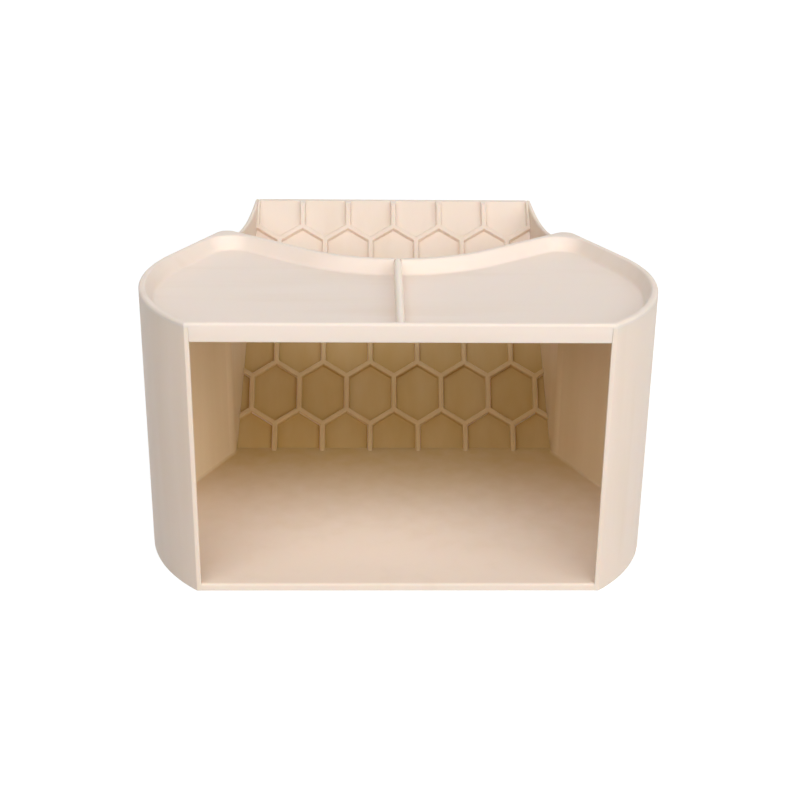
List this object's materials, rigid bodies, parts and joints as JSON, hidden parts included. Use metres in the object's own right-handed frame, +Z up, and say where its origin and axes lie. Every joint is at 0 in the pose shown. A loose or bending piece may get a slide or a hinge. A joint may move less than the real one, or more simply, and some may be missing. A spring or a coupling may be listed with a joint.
{
  "type": "hermit crab feeding platform",
  "caption": "Cream plastic crab shelter with an open front, bulging side walls, a sloping honeycomb climbing ramp as its back, and a lift-off divided feeding tray as its roof.",
  "frame": {"origin": "on the ground, at the middle of the footprint's box", "axes": "+X to the right seen from the open front, +Y from the open front to the back edge of the ramp, +Z up"},
  "size_m": [0.152, 0.16, 0.0826],
  "materials": {
    "shelter_plastic": "satin",
    "ramp_plastic": "satin",
    "tray_plastic": "satin"
  },
  "bodies": {
    "shelter": {"shelter_shell": "shelter_plastic", "climbing_ramp": "ramp_plastic"},
    "tray": {"feeding_tray": "tray_plastic"},
    "divider": {"tray_divider": "tray_plastic"}
  },
  "joints": [
    {"name": "tray_lift", "type": "slide", "parent": "shelter", "child": "tray", "axis": [0, 0, 1], "range_m": [0, 0.04]},
    {"name": "divider_lift", "type": "slide", "parent": "tray", "child": "divider", "axis": [0, 0, 1], "range_m": [0, 0.015]}
  ]
}
